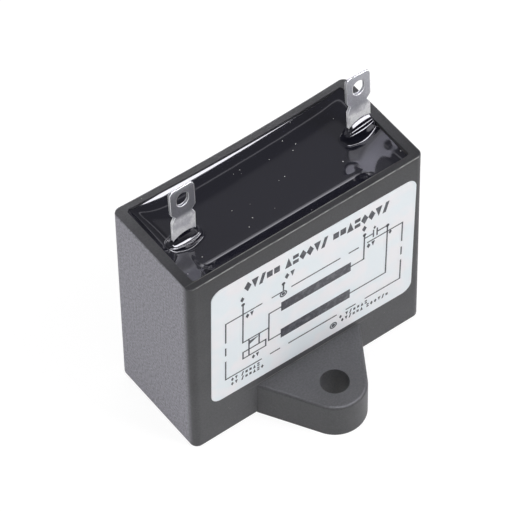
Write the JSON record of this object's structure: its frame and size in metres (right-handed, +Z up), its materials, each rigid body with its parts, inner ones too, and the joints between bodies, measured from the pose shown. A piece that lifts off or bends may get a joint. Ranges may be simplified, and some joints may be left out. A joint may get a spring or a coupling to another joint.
{
  "type": "motor run capacitor",
  "caption": "Potted box film capacitor with a screw ear at its base, a diagram label and two push-on blade terminals on top.",
  "frame": {"origin": "centre of the case's base", "axes": "+X along the case's length, +Y towards its rear wall, away from the label and the ear, +Z up through the terminals"},
  "size_m": [0.047, 0.0336, 0.0535],
  "materials": {
    "case_plastic": "fine-grained matt moulding",
    "resin_black": "self-levelled gloss",
    "tinned_strip": "tinned, rolled",
    "label_paper": "smooth coated paper with dark print",
    "film_roll": "metallised film edge on",
    "wrap_film": "clear film",
    "zinc_spray": "rough sprayed metal",
    "tinned_wire": "tinned",
    "solder": "bright"
  },
  "bodies": {
    "root": {"case_box": "case_plastic", "potting_resin": "resin_black", "terminal_left": "tinned_strip", "terminal_right": "tinned_strip", "diagram_label": "label_paper", "film_winding": "film_roll", "winding_wrap": "wrap_film", "end_spray_left": "zinc_spray", "end_spray_right": "zinc_spray", "lead_wire_left": "tinned_wire", "lead_wire_right": "tinned_wire", "end_solder_left": "solder", "end_solder_right": "solder", "tail_solder_left": "solder", "tail_solder_right": "solder"}
  },
  "joints": []
}
